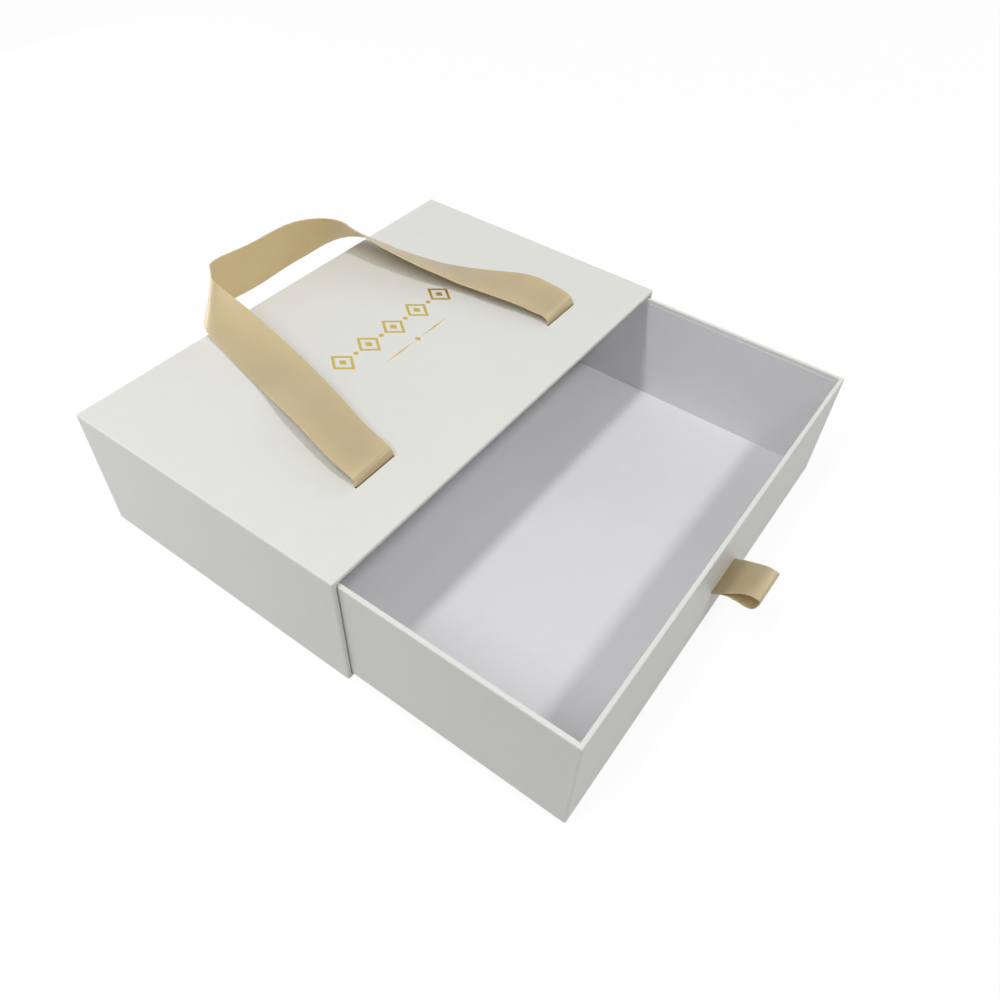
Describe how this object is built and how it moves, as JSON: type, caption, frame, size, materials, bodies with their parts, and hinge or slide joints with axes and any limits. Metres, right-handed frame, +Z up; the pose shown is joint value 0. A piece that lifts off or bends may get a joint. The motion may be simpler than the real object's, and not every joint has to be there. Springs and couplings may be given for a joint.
{
  "type": "paper box",
  "caption": "Rigid paper-covered drawer box: open-fronted sleeve with a satin ribbon carrying handle, and a sliding open-top tray pulled out by a small ribbon loop.",
  "frame": {"origin": "middle of the sleeve's base, on the surface that the box stands on", "axes": "+X across the box, -Y the way the drawer opens, +Z up"},
  "size_m": [0.21, 0.2521, 0.0827],
  "materials": {
    "cover_paper": "matte coated white wrapping paper",
    "lining_paper": "matte white lining paper",
    "greyboard": "uncoated grey binder's board",
    "stay_tape": "gummed kraft paper tape",
    "satin_ribbon": "champagne double-faced satin ribbon"
  },
  "bodies": {
    "sleeve": {"sleeve_top_board": "greyboard", "sleeve_base_board": "greyboard", "sleeve_left_board": "greyboard", "sleeve_right_board": "greyboard", "sleeve_back_board": "greyboard", "sleeve_wrap": "cover_paper", "sleeve_base_sheet": "cover_paper", "sleeve_liner": "lining_paper", "handle_tail_left": "satin_ribbon", "handle_tail_right": "satin_ribbon"},
    "drawer": {"drawer_base_board": "greyboard", "drawer_front_board": "greyboard", "drawer_back_board": "greyboard", "drawer_left_board": "greyboard", "drawer_right_board": "greyboard", "drawer_corner_stay_front_left": "stay_tape", "drawer_corner_stay_front_right": "stay_tape", "drawer_corner_stay_back_left": "stay_tape", "drawer_corner_stay_back_right": "stay_tape", "drawer_wrap": "cover_paper", "drawer_wall_liner": "lining_paper", "drawer_base_liner": "lining_paper", "pull_tail_upper": "satin_ribbon", "pull_tail_lower": "satin_ribbon"},
    "handle": {"handle_ribbon": "satin_ribbon"},
    "pull": {"pull_ribbon": "satin_ribbon"}
  },
  "joints": [
    {"name": "drawer_slide", "type": "slide", "parent": "sleeve", "child": "drawer", "axis": [0, -1, 0], "range_m": [-0.0925, 0.04]},
    {"name": "handle_swing", "type": "hinge", "parent": "sleeve", "child": "handle", "pos_m": [0.0015, -0.0423, 0.0584], "axis": [1, 0, 0], "range_deg": [0, 80]},
    {"name": "pull_swing", "type": "hinge", "parent": "drawer", "child": "pull", "pos_m": [0.003, -0.15815, 0.02457], "axis": [-1, 0, 0], "range_deg": [-60, 45], "stiffness_Nm_per_rad": 0.004}
  ]
}
